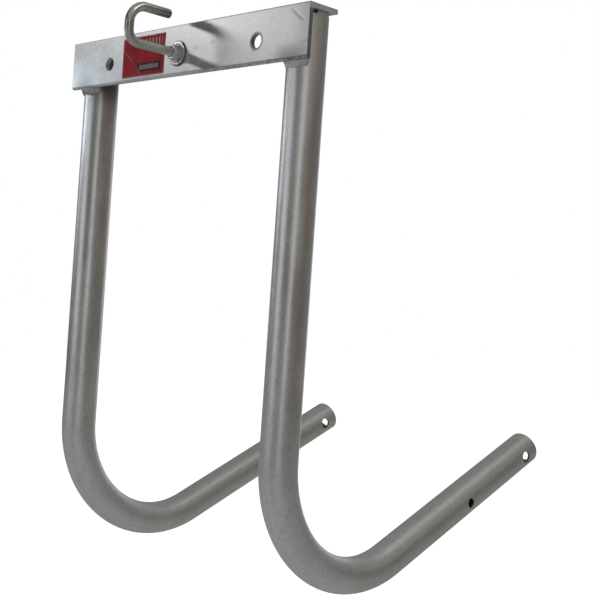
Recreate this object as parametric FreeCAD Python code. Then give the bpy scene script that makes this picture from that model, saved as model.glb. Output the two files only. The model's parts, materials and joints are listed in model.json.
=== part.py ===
"""Cable support bracket: an angle bar with two welded J tubes and a clamped hook bolt.

Millimetres. The origin is on the bar's front face, in the middle of the row of holes.
+X runs along the bar to the right as seen from the front, +Y goes back, +Z is up.
"""
import FreeCAD
import Part
import math
import os

# Angle bar
BAR_LENGTH = 376.0
BAR_HEIGHT = 52.8
BAR_THICK = 4.76
FLANGE_DEPTH = 38.1
BAR_EDGE_ROUND = 1.0
BAR_TOE_ROUND = 3.0
BAR_ROOT_ROUND = 3.0
ROW_BELOW_TOP = 30.0
BAR_HOLE_SPACING = 236.0
BAR_HOLE_DIA = 14.3
BOLT_HOLE_DIA = 10.3

# J tubes
TUBE_OD = 38.1
TUBE_WALL = 3.2
TUBE_SPACING = 328.0
WELD_GAP = 0.4
TUBE_TOP_GAP = 2.0
LEG_BELOW_TOP = 432.7
BEND_RADIUS = 122.5
BEND_ANGLE = 113.5
ARM_LENGTH = 271.7
END_HOLE_FROM_END = 22.0
END_HOLE_DIA = 14.3
MID_HOLE_FROM_END = 138.0
MID_HOLE_DIA = 11.1

# Hook bolt and its fasteners
ROD_DIA = 9.525
SHANK_REACH = 52.5
LOWER_BEND_RADIUS = 11.9
HOOK_RISE = 6.5
UPPER_BEND_RADIUS = 19.5
RETURN_LENGTH = 30.5
ROD_PAST_NUT = 6.0
ROD_CHAMFER = 0.8
WASHER_OD = 25.4
WASHER_THICK = 2.0
NUT_ACROSS_FLATS = 14.3
NUT_THICK = 8.3

# Weld beads
GROOVE_HALF_WIDTH = 17.0
GROOVE_TOP_HALF_WIDTH = 12.5
GROOVE_DEPTH = 7.0
BEAD_REACH = 4.7
BEAD_DROP = 7.0
BEAD_LIFT = 1.6
BEAD_HALF_ANGLE = 48.0
LEFT_BEAD_SWELL = 1.0
RIGHT_BEAD_SWELL = -1.2

# Label
LABEL_LEFT = -94.0
LABEL_RIGHT = -22.0
LABEL_BOTTOM = -18.4
LABEL_TOP = 25.0
LABEL_THICK = 0.3

BAR_TOP = ROW_BELOW_TOP
BAR_BOTTOM = ROW_BELOW_TOP - BAR_HEIGHT
FLANGE_UNDER = BAR_TOP - BAR_THICK
TUBE_TOP = FLANGE_UNDER - TUBE_TOP_GAP
TUBE_RADIUS = TUBE_OD / 2
TUBE_AXIS_Y = BAR_THICK + WELD_GAP + TUBE_RADIUS
ROD_RADIUS = ROD_DIA / 2
ALONG_X = FreeCAD.Vector(1, 0, 0)
ALONG_Y = FreeCAD.Vector(0, 1, 0)
ALONG_Z = FreeCAD.Vector(0, 0, 1)


def vec(x, y, z):
    return FreeCAD.Vector(x, y, z)


def prism(points, direction):
    """A closed polygon of points pushed along a vector."""
    return Part.Face(Part.makePolygon(points + points[:1])).extrude(direction)


def arc(start, middle, end):
    return Part.Arc(start, middle, end).toShape()


def pipe(edges, radius):
    """A solid round rod of the given radius along a smooth chain of edges."""
    path = Part.Wire(edges)
    start = edges[0].valueAt(edges[0].FirstParameter)
    heading = edges[0].tangentAt(edges[0].FirstParameter)
    ring = Part.Wire([Part.Circle(start, heading, radius).toShape()])
    return path.makePipeShell([ring], True, False)


def chamfer_ends(solid, radius, size, centres):
    """Break the round edges that lie at the given centres."""
    edges = []
    for edge in solid.Edges:
        curve = edge.Curve
        if isinstance(curve, Part.Circle) and abs(curve.Radius - radius) < 1e-4:
            if any(curve.Center.distanceToPoint(c) < 1e-3 for c in centres):
                edges.append(edge)
    return solid.makeChamfer(size, edges)


def long_edge(solid, y, z):
    """The edge that runs along the bar at a corner of its section."""
    for edge in solid.Edges:
        middle = edge.valueAt((edge.FirstParameter + edge.LastParameter) / 2)
        if middle.distanceToPoint(vec(0, y, z)) < 1e-6:
            return edge


# The angle bar is one extrusion: an upright front leg and a flange that goes back over the tube tops.
toe = (0, BAR_BOTTOM)
root = (BAR_THICK, FLANGE_UNDER)
heel = (0, BAR_TOP)
flange_back = (FLANGE_DEPTH, BAR_TOP)
flange_lip = (FLANGE_DEPTH, FLANGE_UNDER)
toe_back = (BAR_THICK, BAR_BOTTOM)
section = [toe, heel, flange_back, flange_lip, root, toe_back]
cross_bar = prism([vec(-BAR_LENGTH / 2, y, z) for y, z in section], vec(BAR_LENGTH, 0, 0))
for corners, radius in (
    ([toe], BAR_TOE_ROUND),
    ([root], BAR_ROOT_ROUND),
    ([heel, flange_back, flange_lip, toe_back], BAR_EDGE_ROUND),
):
    cross_bar = cross_bar.makeFillet(radius, [long_edge(cross_bar, y, z) for y, z in corners])
for x, dia in ((-BAR_HOLE_SPACING / 2, BAR_HOLE_DIA), (0, BOLT_HOLE_DIA), (BAR_HOLE_SPACING / 2, BAR_HOLE_DIA)):
    drill = Part.makeCylinder(dia / 2, BAR_THICK + 2, vec(x, -1, 0), ALONG_Y)
    cross_bar = cross_bar.cut(drill)

# Each J tube is one bent length: down from just under the flange, round the bend, then up and back.
turn = math.radians(BEND_ANGLE)
leg_bottom = BAR_TOP - LEG_BELOW_TOP
bend_centre_y = TUBE_AXIS_Y + BEND_RADIUS
arm_dir = vec(0, math.sin(turn), -math.cos(turn))


def on_bend(x, angle):
    y = bend_centre_y - BEND_RADIUS * math.cos(angle)
    z = leg_bottom - BEND_RADIUS * math.sin(angle)
    return vec(x, y, z)


def tube_line(x, extra):
    """The tube's centre line, with its straight ends made longer by extra."""
    top = vec(x, TUBE_AXIS_Y, TUBE_TOP + extra)
    low = vec(x, TUBE_AXIS_Y, leg_bottom)
    arm_start = on_bend(x, turn)
    arm_end = arm_start + arm_dir * (ARM_LENGTH + extra)
    leg = Part.makeLine(top, low)
    bend = arc(low, on_bend(x, turn / 2), arm_start)
    arm = Part.makeLine(arm_start, arm_end)
    return [leg, bend, arm]


def j_tube(x):
    outer = pipe(tube_line(x, 0), TUBE_RADIUS)
    inner = pipe(tube_line(x, 5), TUBE_RADIUS - TUBE_WALL)
    tube = outer.cut(inner)
    arm_end = on_bend(x, turn) + arm_dir * ARM_LENGTH
    for distance, dia in ((END_HOLE_FROM_END, END_HOLE_DIA), (MID_HOLE_FROM_END, MID_HOLE_DIA)):
        start = arm_end - arm_dir * distance - ALONG_X * (TUBE_OD)
        tube = tube.cut(Part.makeCylinder(dia / 2, 2 * TUBE_OD, start, ALONG_X))
    return tube


left_j_tube = j_tube(-TUBE_SPACING / 2)
right_j_tube = j_tube(TUBE_SPACING / 2)


# Each weld fills the groove between bar and tube, and rounds the corner under the bar's lower edge.
def weld(x, swell):
    """One weld; swell is how far the lower bead's face stands out from the straight line between its toes."""
    groove = [
        vec(x - GROOVE_HALF_WIDTH, BAR_THICK - 1, BAR_BOTTOM),
        vec(x + GROOVE_HALF_WIDTH, BAR_THICK - 1, BAR_BOTTOM),
        vec(x + GROOVE_TOP_HALF_WIDTH, BAR_THICK + GROOVE_DEPTH, BAR_BOTTOM),
        vec(x - GROOVE_TOP_HALF_WIDTH, BAR_THICK + GROOVE_DEPTH, BAR_BOTTOM),
    ]
    fill = prism(groove, vec(0, 0, TUBE_TOP - BAR_BOTTOM))
    tube_front = TUBE_AXIS_Y - TUBE_RADIUS
    bar_inside = vec(x, tube_front + 1, BAR_BOTTOM + BEAD_LIFT)
    bar_toe = vec(x, tube_front - BEAD_REACH, BAR_BOTTOM + BEAD_LIFT)
    tube_toe = vec(x, tube_front, BAR_BOTTOM - BEAD_DROP)
    tube_inside = vec(x, tube_front + 1, BAR_BOTTOM - BEAD_DROP)
    slope = (tube_toe - bar_toe).normalize()
    crown = (bar_toe + tube_toe) * 0.5 + vec(0, slope.z, -slope.y) * swell
    outline = [
        Part.makeLine(bar_inside, bar_toe),
        arc(bar_toe, crown, tube_toe),
        Part.makeLine(tube_toe, tube_inside),
        Part.makeLine(tube_inside, bar_inside),
    ]
    axis_point = vec(x, TUBE_AXIS_Y, 0)
    bead = Part.Face(Part.Wire(outline))
    bead.rotate(axis_point, ALONG_Z, -BEAD_HALF_ANGLE)
    bead = bead.revolve(axis_point, ALONG_Z, 2 * BEAD_HALF_ANGLE)
    body = Part.makeCylinder(TUBE_RADIUS, 200, vec(x, TUBE_AXIS_Y, BAR_BOTTOM - 100), ALONG_Z)
    return fill.fuse(bead).cut(body).cut(cross_bar).removeSplitter()


left_weld = weld(-TUBE_SPACING / 2, LEFT_BEAD_SWELL)
right_weld = weld(TUBE_SPACING / 2, RIGHT_BEAD_SWELL)

# The hook bolt comes forward through the bar, turns up, and bends back over towards the bar.
rod_back = BAR_THICK + WASHER_THICK + NUT_THICK + ROD_PAST_NUT
hook_y = -SHANK_REACH - LOWER_BEND_RADIUS
rise_start = LOWER_BEND_RADIUS
rise_end = LOWER_BEND_RADIUS + HOOK_RISE
return_z = rise_end + UPPER_BEND_RADIUS
return_y = hook_y + UPPER_BEND_RADIUS
half = math.sqrt(0.5)
lower_middle = vec(0, -SHANK_REACH - LOWER_BEND_RADIUS * half, LOWER_BEND_RADIUS * (1 - half))
upper_middle = vec(0, return_y - UPPER_BEND_RADIUS * half, rise_end + UPPER_BEND_RADIUS * half)
rod_start = vec(0, rod_back, 0)
rod_tip = vec(0, return_y + RETURN_LENGTH, return_z)
hook_bolt = pipe(
    [
        Part.makeLine(rod_start, vec(0, -SHANK_REACH, 0)),
        arc(vec(0, -SHANK_REACH, 0), lower_middle, vec(0, hook_y, rise_start)),
        Part.makeLine(vec(0, hook_y, rise_start), vec(0, hook_y, rise_end)),
        arc(vec(0, hook_y, rise_end), upper_middle, vec(0, return_y, return_z)),
        Part.makeLine(vec(0, return_y, return_z), rod_tip),
    ],
    ROD_RADIUS,
)
hook_bolt = chamfer_ends(hook_bolt, ROD_RADIUS, ROD_CHAMFER, [rod_start, rod_tip])


# A flat washer and a hex nut clamp the bolt on each side of the bar's front leg.
def washer(y):
    disc = Part.makeCylinder(WASHER_OD / 2, WASHER_THICK, vec(0, y, 0), ALONG_Y)
    return disc.cut(Part.makeCylinder(BOLT_HOLE_DIA / 2, WASHER_THICK, vec(0, y, 0), ALONG_Y))


def nut(seat, outward):
    """A hex nut from its seat on the washer, chamfered on its outer face; outward is -1 or 1 along Y."""
    corner = NUT_ACROSS_FLATS / math.sqrt(3)
    angles = [math.radians(60 * i) for i in range(6)]
    points = [vec(corner * math.cos(a), seat, corner * math.sin(a)) for a in angles]
    body = prism(points, vec(0, outward * NUT_THICK, 0))
    crown = seat + outward * NUT_THICK
    slope = (corner - NUT_ACROSS_FLATS / 2) * math.tan(math.radians(30))
    shape = [
        vec(0, seat, 0),
        vec(corner + 1, seat, 0),
        vec(corner + 1, crown - outward * (slope + math.tan(math.radians(30))), 0),
        vec(NUT_ACROSS_FLATS / 2, crown, 0),
        vec(0, crown, 0),
    ]
    turned = Part.Face(Part.makePolygon(shape + shape[:1])).revolve(vec(0, 0, 0), ALONG_Y, 360)
    bore = Part.makeCylinder(ROD_RADIUS, NUT_THICK, vec(0, min(seat, crown), 0), ALONG_Y)
    return body.common(turned).cut(bore)


front_washer = washer(-WASHER_THICK)
front_nut = nut(-WASHER_THICK, -1)
rear_washer = washer(BAR_THICK)
rear_nut = nut(BAR_THICK + WASHER_THICK, 1)

# The label is a thin sheet on the front face, left of the bolt.
label_width = LABEL_RIGHT - LABEL_LEFT
label_height = LABEL_TOP - LABEL_BOTTOM
label = Part.makeBox(label_width, LABEL_THICK, label_height, vec(LABEL_LEFT, -LABEL_THICK, LABEL_BOTTOM))

os.makedirs("parts", exist_ok=True)
pieces = {
    "cross_bar": cross_bar,
    "left_j_tube": left_j_tube,
    "right_j_tube": right_j_tube,
    "left_weld": left_weld,
    "right_weld": right_weld,
    "hook_bolt": hook_bolt,
    "front_washer": front_washer,
    "front_nut": front_nut,
    "rear_washer": rear_washer,
    "rear_nut": rear_nut,
    "label": label,
}
for name, shape in pieces.items():
    solid = shape.Solids[0]
    solid.exportStep("parts/" + name + ".step")
    print(name, len(shape.Solids), solid.isValid(), round(solid.Volume, 1))
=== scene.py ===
"""Cable support bracket: an angle bar, two welded J tubes, a clamped hook bolt and a red label.

Metres. The origin is on the bar's front face in the middle of the hole row, +Y goes back, +Z is up.
"""
import json
import math

import bpy
import numpy as np
from mathutils import Matrix, Vector


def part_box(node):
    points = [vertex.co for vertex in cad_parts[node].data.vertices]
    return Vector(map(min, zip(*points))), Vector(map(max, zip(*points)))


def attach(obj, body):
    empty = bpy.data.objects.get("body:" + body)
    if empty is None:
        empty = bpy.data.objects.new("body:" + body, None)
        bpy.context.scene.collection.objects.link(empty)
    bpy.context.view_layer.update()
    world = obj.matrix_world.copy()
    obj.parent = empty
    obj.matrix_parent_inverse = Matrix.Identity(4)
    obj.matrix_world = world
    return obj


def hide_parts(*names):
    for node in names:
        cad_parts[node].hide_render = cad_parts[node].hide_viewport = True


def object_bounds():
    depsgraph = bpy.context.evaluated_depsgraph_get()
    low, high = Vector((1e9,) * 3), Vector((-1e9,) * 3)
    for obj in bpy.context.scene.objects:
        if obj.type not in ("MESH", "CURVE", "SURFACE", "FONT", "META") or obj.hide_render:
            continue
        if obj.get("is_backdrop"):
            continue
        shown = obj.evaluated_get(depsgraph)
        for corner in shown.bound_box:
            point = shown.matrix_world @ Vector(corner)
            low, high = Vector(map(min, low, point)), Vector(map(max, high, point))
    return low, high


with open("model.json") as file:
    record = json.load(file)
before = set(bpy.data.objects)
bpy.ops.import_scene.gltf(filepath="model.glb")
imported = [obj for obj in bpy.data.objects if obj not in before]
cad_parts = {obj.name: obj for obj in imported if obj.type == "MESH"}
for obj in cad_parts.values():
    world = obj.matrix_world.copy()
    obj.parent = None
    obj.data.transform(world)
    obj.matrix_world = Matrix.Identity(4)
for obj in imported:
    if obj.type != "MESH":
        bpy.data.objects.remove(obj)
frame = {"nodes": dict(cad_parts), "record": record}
cad_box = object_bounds()

# Angle bar. A length of extruded aluminium angle in its mill finish: the front leg carries the holes and
# the flange lies over the tube tops. It was sawn to length and has been handled and scuffed. A mark given
# as a pair of distances is whole up to the first of them and gone by the second.
MM = 0.001
BAR_LOW, BAR_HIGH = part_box("cross_bar")
BAR_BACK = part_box("rear_washer")[0].y
TUBE_AWAY = sum(corner.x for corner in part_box("right_j_tube")) / 2
WASHER_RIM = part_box("front_washer")[1].x
bar_holes = next(mount["dims"] for mount in frame["record"]["mounts"] if mount["name"] == "bar_holes")
HOLE_AWAY = bar_holes["spacing_x_mm"] / 2 * MM
HOLE_RADIUS = bar_holes["hole_r_mm"] * MM
BURR_AND_DARK_RING = (8.3 * MM, 9.9 * MM)
SHADED_BORE = (HOLE_RADIUS + 0.05 * MM, HOLE_RADIUS + 0.35 * MM)
GRIME_AND_SHADE = (WASHER_RIM, WASHER_RIM + 2.6 * MM)
SCUFF_START = (164 * MM, 0, 25 * MM)
SCUFF_END = (180 * MM, 0, 13 * MM)
SCUFF_WIDTH = 2.6 * MM
GOUGE_START = (167 * MM, 0, 25.5 * MM)
GOUGE_END = (182 * MM, 0, 14.5 * MM)
GOUGE_WIDTH = 2.0 * MM
NICK_PLACE = (115 * MM, 0, 21 * MM)
NICK = (1.1 * MM, 2.0 * MM)
SAWN_END = (0.05 * MM, 0.15 * MM)
BRIGHT_FLANGE = (5 * MM, 7 * MM)
DARKER_RIGHT_END = (0.0, 24 * MM)
DULL_FOOT = (2.2 * MM, 4.6 * MM)
FOOT_LINE = (1.4 * MM, 2.8 * MM)
TOP_LINE = (0.7 * MM, 1.8 * MM)
FRONT_FACE = (0.4 * MM, 1.2 * MM)
CLEAN_HALF = (0.0, 60 * MM)
HAZE_BESIDE_TUBE = (4 * MM, 26 * MM)
HAZE_ABOVE_FOOT = (3 * MM, 20 * MM)
DULL_MILL = (0.672, 0.690, 0.70)
BRIGHT_MILL = (0.822, 0.842, 0.85)
BAR_DIRT_AND_SHADE = (0.27, 0.27, 0.28)
BARE_METAL = (0.93, 0.93, 0.92)


class Wire:
    """One shader socket. Arithmetic on wires adds Math nodes, and node() adds any other kind."""

    def __init__(self, tree, socket=None):
        self.tree = tree
        self.socket = socket

    def node(self, kind, inputs, output=0, **settings):
        """Add a node: its settings first, then a value or a link for each socket, by name or number."""
        made = self.tree.nodes.new("ShaderNode" + kind)
        for setting, value in settings.items():
            setattr(made, setting, value)
        for key, value in inputs.items():
            if isinstance(value, Wire):
                self.tree.links.new(value.socket, made.inputs[key])
            else:
                made.inputs[key].default_value = value
        return Wire(self.tree, made.outputs[output])

    def math(self, operation, first, second=0.0):
        """A Math node on one or two values."""
        return self.node("Math", {0: first, 1: second}, operation=operation)

    def __add__(self, other):
        return self.math("ADD", self, other)

    def __mul__(self, other):
        return self.math("MULTIPLY", self, other)

    def __sub__(self, other):
        return self.math("SUBTRACT", self, other)

    def __rsub__(self, other):
        return self.math("SUBTRACT", other, self)

    def __abs__(self):
        return self.math("ABSOLUTE", self)

    __radd__ = __add__
    __rmul__ = __mul__

    def step(self, low, high):
        """A smooth step from 0 at low to 1 at high."""
        return self.node("MapRange", {0: self, 1: low, 2: high}, interpolation_type="SMOOTHSTEP")

    def fall(self, low, high):
        """A smooth step from 1 at low to 0 at high."""
        return 1 - self.step(low, high)

    def mark(self, name, output="Fac"):
        """What the piece's mesh holds for each vertex under this name."""
        return self.node("Attribute", {}, output, attribute_name=name)

    def noise(self, stretch, detail=3.0, roughness=0.55):
        """Cloudy noise of this vector, with so many cells to the metre along each of its axes."""
        scaled = self.node("VectorMath", {0: self, 1: stretch}, operation="MULTIPLY")
        inputs = {"Vector": scaled, "Scale": 1.0, "Detail": detail, "Roughness": roughness}
        return self.node("TexNoise", inputs)

    def parts(self):
        """This vector's three numbers."""
        return [self.node("SeparateXYZ", {0: self}, axis) for axis in range(3)]

    def less(self, place):
        """This vector, measured from a place."""
        return self.node("VectorMath", {0: self, 1: place}, operation="SUBTRACT")

    def along(self, direction):
        """How far this vector reaches along a direction."""
        return self.node("VectorMath", {0: self, 1: direction}, "Value", operation="DOT_PRODUCT")

    def from_axis(self, x):
        """How far this place is from a hole's axis, which goes along Y at this x."""
        flat = self.node("VectorMath", {0: self.less((x, 0, 0)), 1: (1, 0, 1)}, operation="MULTIPLY")
        return self.node("VectorMath", {0: flat}, "Value", operation="LENGTH")

    def blend(self, first, second):
        """A colour between two, this wire being the share of the second."""
        ends = [colour if isinstance(colour, Wire) else (*colour, 1) for colour in (first, second)]
        return self.node("Mix", {0: self, 6: ends[0], 7: ends[1]}, 2, data_type="RGBA")

    def relief(self, depth, strength):
        """A normal from this wire as a height, where 1 is as high as depth in metres."""
        return self.node("Bump", {"Height": self, "Distance": depth, "Strength": strength})


def new_finish(name, constants):
    """A material with one main shader: its constant sockets are set here, and the rest is linked later."""
    material = bpy.data.materials.new(name)
    material.use_nodes = True
    shader = material.node_tree.nodes["Principled BSDF"]
    for socket, value in constants.items():
        shader.inputs[socket].default_value = value
    return material, Wire(material.node_tree)


def wear(material, links):
    """Link what changes over the surface to the main shader's sockets, which makes the finish whole."""
    shader = material.node_tree.nodes["Principled BSDF"]
    for socket, wire in links.items():
        material.node_tree.links.new(wire.socket, shader.inputs[socket])
    return material


def line_mark(place, start, end, width):
    """1 on a straight mark from start to end in the bar's face, falling to 0 a width away from it."""
    length = math.dist(start, end)
    run_x = (end[0] - start[0]) / length
    run_z = (end[2] - start[2]) / length
    from_start = place.less(start)
    along = from_start.along((run_x, 0, run_z))
    across = abs(from_start.along((-run_z, 0, run_x)))
    return along.step(-width, width) * along.fall(length - width, length + width) * across.fall(0.0, width)


def bar_finish():
    """Mill aluminium: clouded oxide with lines along the extrusion, smudges, and the marks of its use.

    The marks are a scuff with a bright gouge beside it, one bright nick, a burr round the right hole that is
    also coloured as a dark ring, grime round the washer, dirty edges on the right half, and ends sawn bright
    on the flange. Painted shade lies in a ring round the washer, in the left bore and on the front leg's
    sawn ends. The right end is darker, the foot is duller, and a haze lies over each weld.
    """
    material, wire = new_finish("mill_aluminium", {"Metallic": 1.0})
    place = wire.node("TexCoord", {}, "Object")
    x, y, z = place.parts()
    above_foot = z - BAR_LOW.z
    below_top = BAR_HIGH.z - z
    clouds = place.noise((26, 40, 40), 5.0, 0.62)
    mottle = place.noise((170, 240, 240), 3.0)
    lines = place.noise((5, 1500, 1500), 2.0)
    saw_lines = place.noise((10, 260, 1900), 1.0)
    smudge = place.noise((60, 90, 90), 4.0, 0.6).step(0.60, 0.74) * clouds.step(0.40, 0.62)
    # The burr is also coloured as a dark ring round the right hole.
    burr_and_dark_ring = place.from_axis(HOLE_AWAY).fall(*BURR_AND_DARK_RING)
    # Painted shade in the left hole's bore.
    shaded_left_bore = place.from_axis(-HOLE_AWAY).fall(*SHADED_BORE)
    # Grime and painted shade in a ring round the washer.
    grime_and_shade = place.from_axis(0.0).fall(*GRIME_AND_SHADE) * (0.5 + mottle * 0.7)
    from_nick = place.node("VectorMath", {0: place, 1: NICK_PLACE}, "Value", operation="DISTANCE")
    nick = from_nick.fall(*NICK)
    scuff = line_mark(place, SCUFF_START, SCUFF_END, SCUFF_WIDTH) * mottle.step(0.2, 0.7)
    gouge = line_mark(place, GOUGE_START, GOUGE_END, GOUGE_WIDTH)
    sawn = (BAR_HIGH.x - abs(x)).fall(*SAWN_END)
    # Painted shade on the front leg's sawn ends.
    shaded_leg_end = sawn * below_top.step(*BRIGHT_FLANGE)
    # Darker towards the right end.
    darker_right_end = (BAR_HIGH.x - x).fall(*DARKER_RIGHT_END) * (0.35 + mottle * 0.5)
    foot = above_foot.fall(*DULL_FOOT)
    edges = above_foot.fall(*FOOT_LINE) + below_top.fall(*TOP_LINE) * y.fall(*FRONT_FACE)
    dirty_edge = edges * x.step(*CLEAN_HALF) * mottle.step(0.34, 0.60)
    over_weld = abs(abs(x) - TUBE_AWAY).fall(*HAZE_BESIDE_TUBE)
    haze = over_weld * above_foot.fall(*HAZE_ABOVE_FOOT) * (0.4 + mottle * 0.9)
    tone = (clouds * 0.6 + mottle * 0.4).step(0.34, 0.66)
    # The darkening holds dirt and the painted shade of the left bore, the ring round the washer and the
    # leg's ends.
    darkening = smudge * 0.35 + darker_right_end * 0.5 + foot * mottle * 0.12 + haze * 0.5 + scuff * 0.85
    darkening = darkening + sawn * 0.1 + burr_and_dark_ring * 0.95 + grime_and_shade * 0.75
    darkening = darkening + shaded_left_bore * 0.62 + dirty_edge * 0.6 + shaded_leg_end * 0.48
    bare = nick + gouge * 0.45 + (sawn - shaded_leg_end) * 0.6
    colour = darkening.blend(tone.blend(DULL_MILL, BRIGHT_MILL), BAR_DIRT_AND_SHADE)
    colour = bare.blend(colour, BARE_METAL)
    rough = 0.26 + clouds * 0.09 + mottle * 0.04 + sawn * 0.25 + smudge * 0.08 + haze * 0.08
    height = lines * 0.5 + mottle * 0.35 - scuff * 0.6 + burr_and_dark_ring * 2.0 + sawn * saw_lines * 1.5
    normal = height.relief(0.02 * MM, 0.5)
    return wear(material, {"Base Color": colour, "Roughness": rough, "Normal": normal})


cross_bar = frame["nodes"]["cross_bar"]
cross_bar.material_slots[0].material = bar_finish()

# J tubes. Two lengths of drawn aluminium tube, each bent once on a former into a leg, a bend and an arm,
# then cross-drilled near the arm's end. The drawing lines run along the metal and follow the bend.
TUBE_WALL = 3.2 * MM
BEND_RADIUS = 122.5 * MM
BEND_TURN = math.radians(113.5)
ARM_LENGTH = 271.7 * MM
OVAL = 0.012
OVAL_FADE = 30 * MM
LIP = 0.45 * MM
# A cross hole: its distance from the arm's end, its radius, half the columns it takes up, and its rows.
CROSS_HOLES = ((22.0 * MM, 7.15 * MM, 11, 14), (138.0 * MM, 5.55 * MM, 9, 12))
HOLE_MARGIN = 4.6 * MM
DRAWN_IN = (0.3, 0.55, 0.76, 0.9, 1.0)
TUBE_COLUMNS = 104
LEG_ROWS = 40
BEND_ROWS = 92
END_ROWS = 8
ARM_STEP = 6 * MM
LIP_ROWS = 5
# A mark's two values are where it begins and where it is whole: distances along the tube, and for
# the side of the painted highlight how squarely a place faces the outer front.
SMOKE_AND_SHADE_REACH = (70 * MM, 46 * MM)
HIGHLIGHT_LENGTH = (270 * MM, 50 * MM)
HIGHLIGHT_SIDE = (0.74, 0.96)
HIGHLIGHT_OUTER = 0.80
HIGHLIGHT_FRONT = 0.60
SATIN_BEFORE_BEND = 60 * MM
SATIN_IN_BEND = 50 * MM
HANDLED_BEFORE_ARM = 120 * MM
# The streaks move along by so much for each metre that a tube is off the middle, so that the two differ.
STREAK_SHIFT = 14
DULL_DRAWN = (0.57, 0.565, 0.555)
BRIGHT_DRAWN = (0.79, 0.795, 0.805)
RUB_GREY = (0.40, 0.40, 0.40)
COOL_SATIN = (0.86, 0.875, 0.90)
WARM_SATIN = (0.74, 0.75, 0.70)
SAND_GREY = (0.36, 0.36, 0.34)
PAINTED_HIGHLIGHT_WHITE = (0.95, 0.94, 0.90)
SMOKE_AND_SHADE_BLACK = (0.08, 0.08, 0.085)
FRESH_METAL = (0.82, 0.82, 0.83)
DARK_INSIDE = (0.16, 0.155, 0.15)


def ramp(value, start, end):
    """0 at start and before it, 1 at end and beyond, and straight between, whichever of them is larger."""
    return np.clip((value - start) / (end - start), 0, 1)


def bent_line(distance, start, heading, runs):
    """Places and headings along a flat line, in Y and Z.

    Each run has a length and a turn, and is an arc of constant curvature, straight where its turn is 0.
    A stretch d of such an arc has a chord of d sin(k)/k, where k is half its turn, and the chord
    points half its turn away from the heading that the stretch starts with.
    """
    lengths, turns = np.transpose(runs)
    starts = np.concatenate([[0.0], np.cumsum(lengths)])
    place = np.zeros(distance.shape + (2,)) + np.asarray(start)
    angle = np.full(distance.shape, float(heading))
    for begin, length, turn in zip(starts, lengths, turns):
        passed = np.clip(distance - begin, 0, length)
        turned = passed / length * turn
        chord = passed * np.sinc(turned / (2 * np.pi))
        aim = angle + turned / 2
        place = place + chord[..., None] * np.stack([np.cos(aim), np.sin(aim)], -1)
        angle = angle + turned
    ahead = distance - np.clip(distance, 0, starts[-1])
    return place + ahead[..., None] * np.stack([np.cos(angle), np.sin(angle)], -1), angle


def round_the_line(centre_x, place, angle, across, outward):
    """Points beside a flat line: across along X, and outward to the right of the line's heading."""
    x = centre_x + across
    y = place[..., 0] + outward * np.sin(angle)
    z = place[..., 1] - outward * np.cos(angle)
    return np.stack([x, y, z], -1)


def full_turn(count):
    """So many angles, evenly spaced round a circle."""
    return np.arange(count) * 2 * np.pi / count


def grid_faces(index, close_rows=False, close_columns=True):
    """The quads of a grid of vertex numbers, row by row, closed on itself where asked."""
    if close_columns:
        index = np.concatenate([index, index[:, :1]], 1)
    if close_rows:
        index = np.concatenate([index, index[:1]], 0)
    corners = [index[:-1, :-1], index[:-1, 1:], index[1:, 1:], index[1:, :-1]]
    return np.stack(corners, -1).reshape(-1, 4)


def make_piece(name, points, faces, material, node, marks):
    """A smooth mesh piece that rides on the bracket in place of a node; marks are values for each vertex."""
    mesh = bpy.data.meshes.new(name)
    mesh.from_pydata(points.tolist(), [], faces)
    mesh.shade_smooth()
    mesh.materials.append(material)
    for mark, values in marks.items():
        kind, field = ("FLOAT_VECTOR", "vector") if values.ndim == 2 else ("FLOAT", "value")
        mesh.attributes.new(mark, kind, "POINT").data.foreach_set(field, values.astype(np.float32).ravel())
    piece = bpy.data.objects.new(name, mesh)
    bpy.context.scene.collection.objects.link(piece)
    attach(piece, "root")
    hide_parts(node)
    return piece


def tube_rows(length, radius):
    """The tube's long section as a closed line: distance along, radius, and marks for cut and for inside.

    It goes down the outer wall, round the sawn end, back up the inner wall and round the other end.
    Rows are close in the bend and beside the holes, and far apart on the straight leg.
    """
    arm = length - ARM_LENGTH
    leg = arm - BEND_RADIUS * BEND_TURN
    spans = [np.linspace(LIP, leg, LEG_ROWS)[:-1], np.linspace(leg, arm, BEND_ROWS)[:-1]]
    start = arm
    for back, hole, half, rows in reversed(CROSS_HOLES):
        reach = hole + HOLE_MARGIN
        low = length - back - reach
        high = length - back + reach
        plain = max(2, int((low - start) / ARM_STEP))
        spans.append(np.linspace(start, low, plain, endpoint=False))
        spans.append(np.linspace(low, high, rows, endpoint=False))
        start = high
    spans.append(np.linspace(start, length - LIP, END_ROWS))
    along = np.concatenate(spans)
    curve = np.linspace(0, np.pi / 2, LIP_ROWS)
    lip_out = LIP * np.sin(curve)
    lip_in = LIP * (1 - np.cos(curve))
    inner = radius - TUBE_WALL
    s = np.concatenate([along, length - LIP + lip_out[1:], length - LIP + lip_out[:0:-1],
                        along[::-1], LIP - lip_out[1:], LIP - lip_out[:0:-1]])
    r = np.concatenate([np.full(along.size, radius), radius - lip_in[1:], inner + lip_in[:0:-1],
                        np.full(along.size, inner), inner + lip_in[1:], radius - lip_in[:0:-1]])
    rim = np.ones(lip_out[1:].size * 2)
    cut = np.concatenate([along * 0, rim, along * 0, rim])
    inside = np.concatenate([along * 0, rim * 0, along * 0 + 1, rim * 0])
    return along, s, r, cut, inside


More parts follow.
